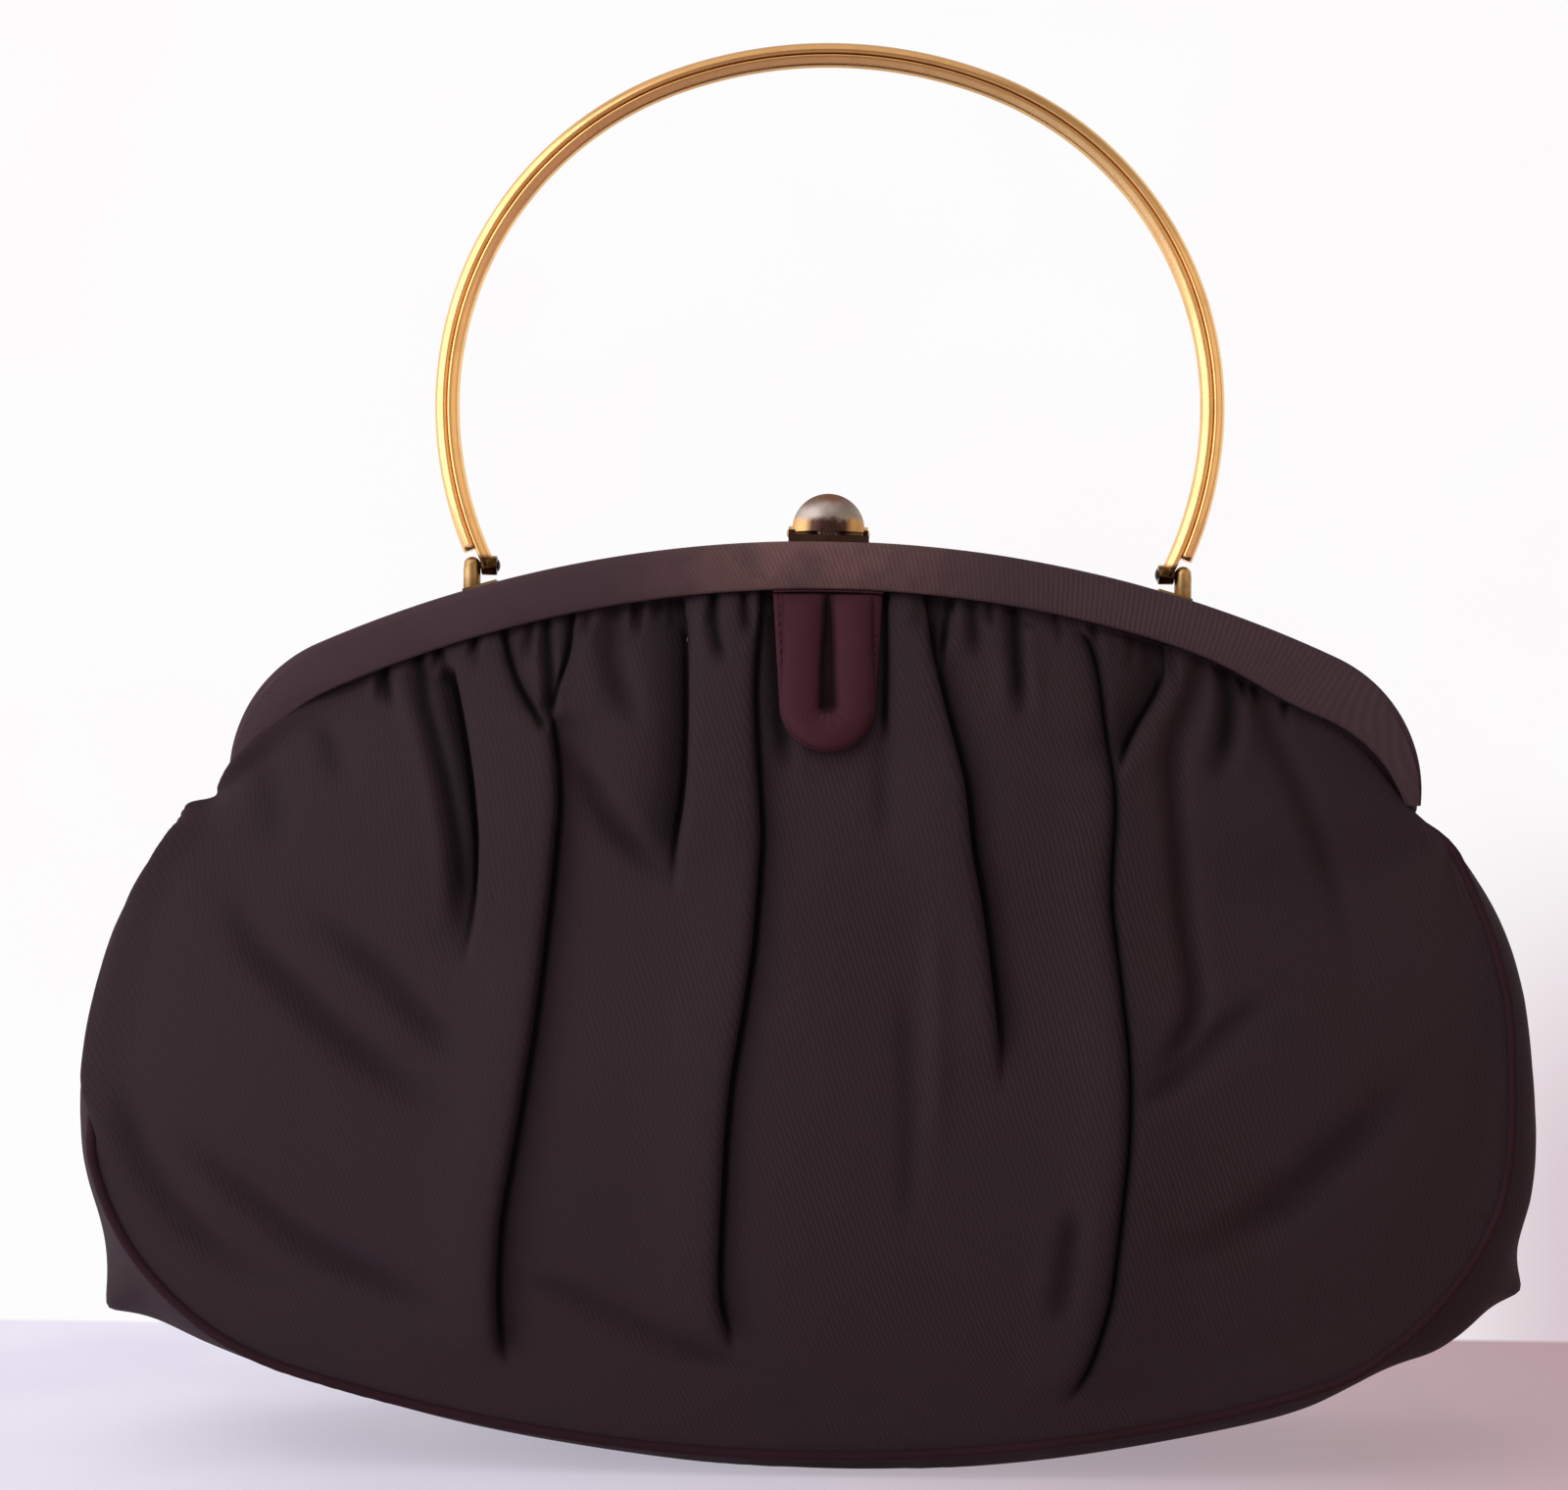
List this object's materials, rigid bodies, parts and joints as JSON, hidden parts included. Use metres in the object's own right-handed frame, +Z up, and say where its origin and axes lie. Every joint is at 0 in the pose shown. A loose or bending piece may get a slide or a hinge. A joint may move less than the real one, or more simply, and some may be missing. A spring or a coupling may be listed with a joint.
{
  "type": "handbag",
  "caption": "Gathered cloth evening bag on an arched snap frame, with a rigid arched metal handle that folds down, a domed thumb clasp and a padded pull tab.",
  "frame": {"origin": "on the ground under the middle of the bag, in the parting plane of the frame", "axes": "+X to the right across the bag, +Y to its back, +Z up"},
  "size_m": [0.276, 0.0678, 0.2706],
  "materials": {
    "body_cloth": "ribbed twill with a low satin sheen",
    "frame_cloth": "ribbed twill pulled tight over metal",
    "trim_cloth": "ribbed twill, redder than the body",
    "lining": "smooth satin",
    "cord": "twisted paper cord",
    "bright_brass": "polished",
    "brass": "polished, slightly worn",
    "dark_brass": "darkened",
    "frame_steel": "satin",
    "spring_steel": "bright wire",
    "board": "pressed fibre board, dull"
  },
  "bodies": {
    "bag": {"back_frame_channel": "frame_steel", "back_frame_cover": "frame_cloth", "back_binding_cord": "cord", "left_hinge_rivet": "dark_brass", "right_hinge_rivet": "dark_brass", "left_handle_post": "brass", "right_handle_post": "brass", "left_pivot_rivet": "brass", "right_pivot_rivet": "brass", "clasp_base_plate": "dark_brass", "clasp_pin": "dark_brass", "clasp_spring": "spring_steel", "back_panel": "body_cloth", "front_panel": "body_cloth", "gusset": "body_cloth", "front_piping": "trim_cloth", "back_piping": "trim_cloth", "lining_back": "lining", "lining_front": "lining", "lining_gusset": "lining", "inner_pocket": "lining", "base_board": "board"},
    "front_frame": {"front_frame_channel": "frame_steel", "front_frame_cover": "frame_cloth", "front_binding_cord": "cord", "front_gathers": "body_cloth", "lining_front_top": "lining", "clasp_catch_plate": "dark_brass", "tab_stay": "trim_cloth"},
    "handle": {"handle_band": "bright_brass"},
    "clasp": {"clasp_thumb_piece": "brass"},
    "pull_tab": {"tab_backing": "trim_cloth", "tab_roll": "trim_cloth"}
  },
  "joints": [
    {"name": "frame_open", "type": "hinge", "parent": "bag", "child": "front_frame", "pos_m": [0, 0, 0.124], "axis": [1, 0, 0], "range_deg": [0, 55], "deforming": ["front_gathers", "lining_front_top"]},
    {"name": "handle_swing", "type": "hinge", "parent": "bag", "child": "handle", "pos_m": [0, 0.0033, 0.1682], "axis": [1, 0, 0], "range_deg": [-98, 98]},
    {"name": "clasp_tilt", "type": "hinge", "parent": "bag", "child": "clasp", "pos_m": [0, 0.0029, 0.1752], "axis": [-1, 0, 0], "range_deg": [0, 22], "stiffness_Nm_per_rad": 0.02, "deforming": ["clasp_spring"]},
    {"name": "tab_lift", "type": "hinge", "parent": "front_frame", "child": "pull_tab", "pos_m": [0, -0.0058, 0.1627], "axis": [-1, 0, 0], "range_deg": [0, 60]}
  ]
}
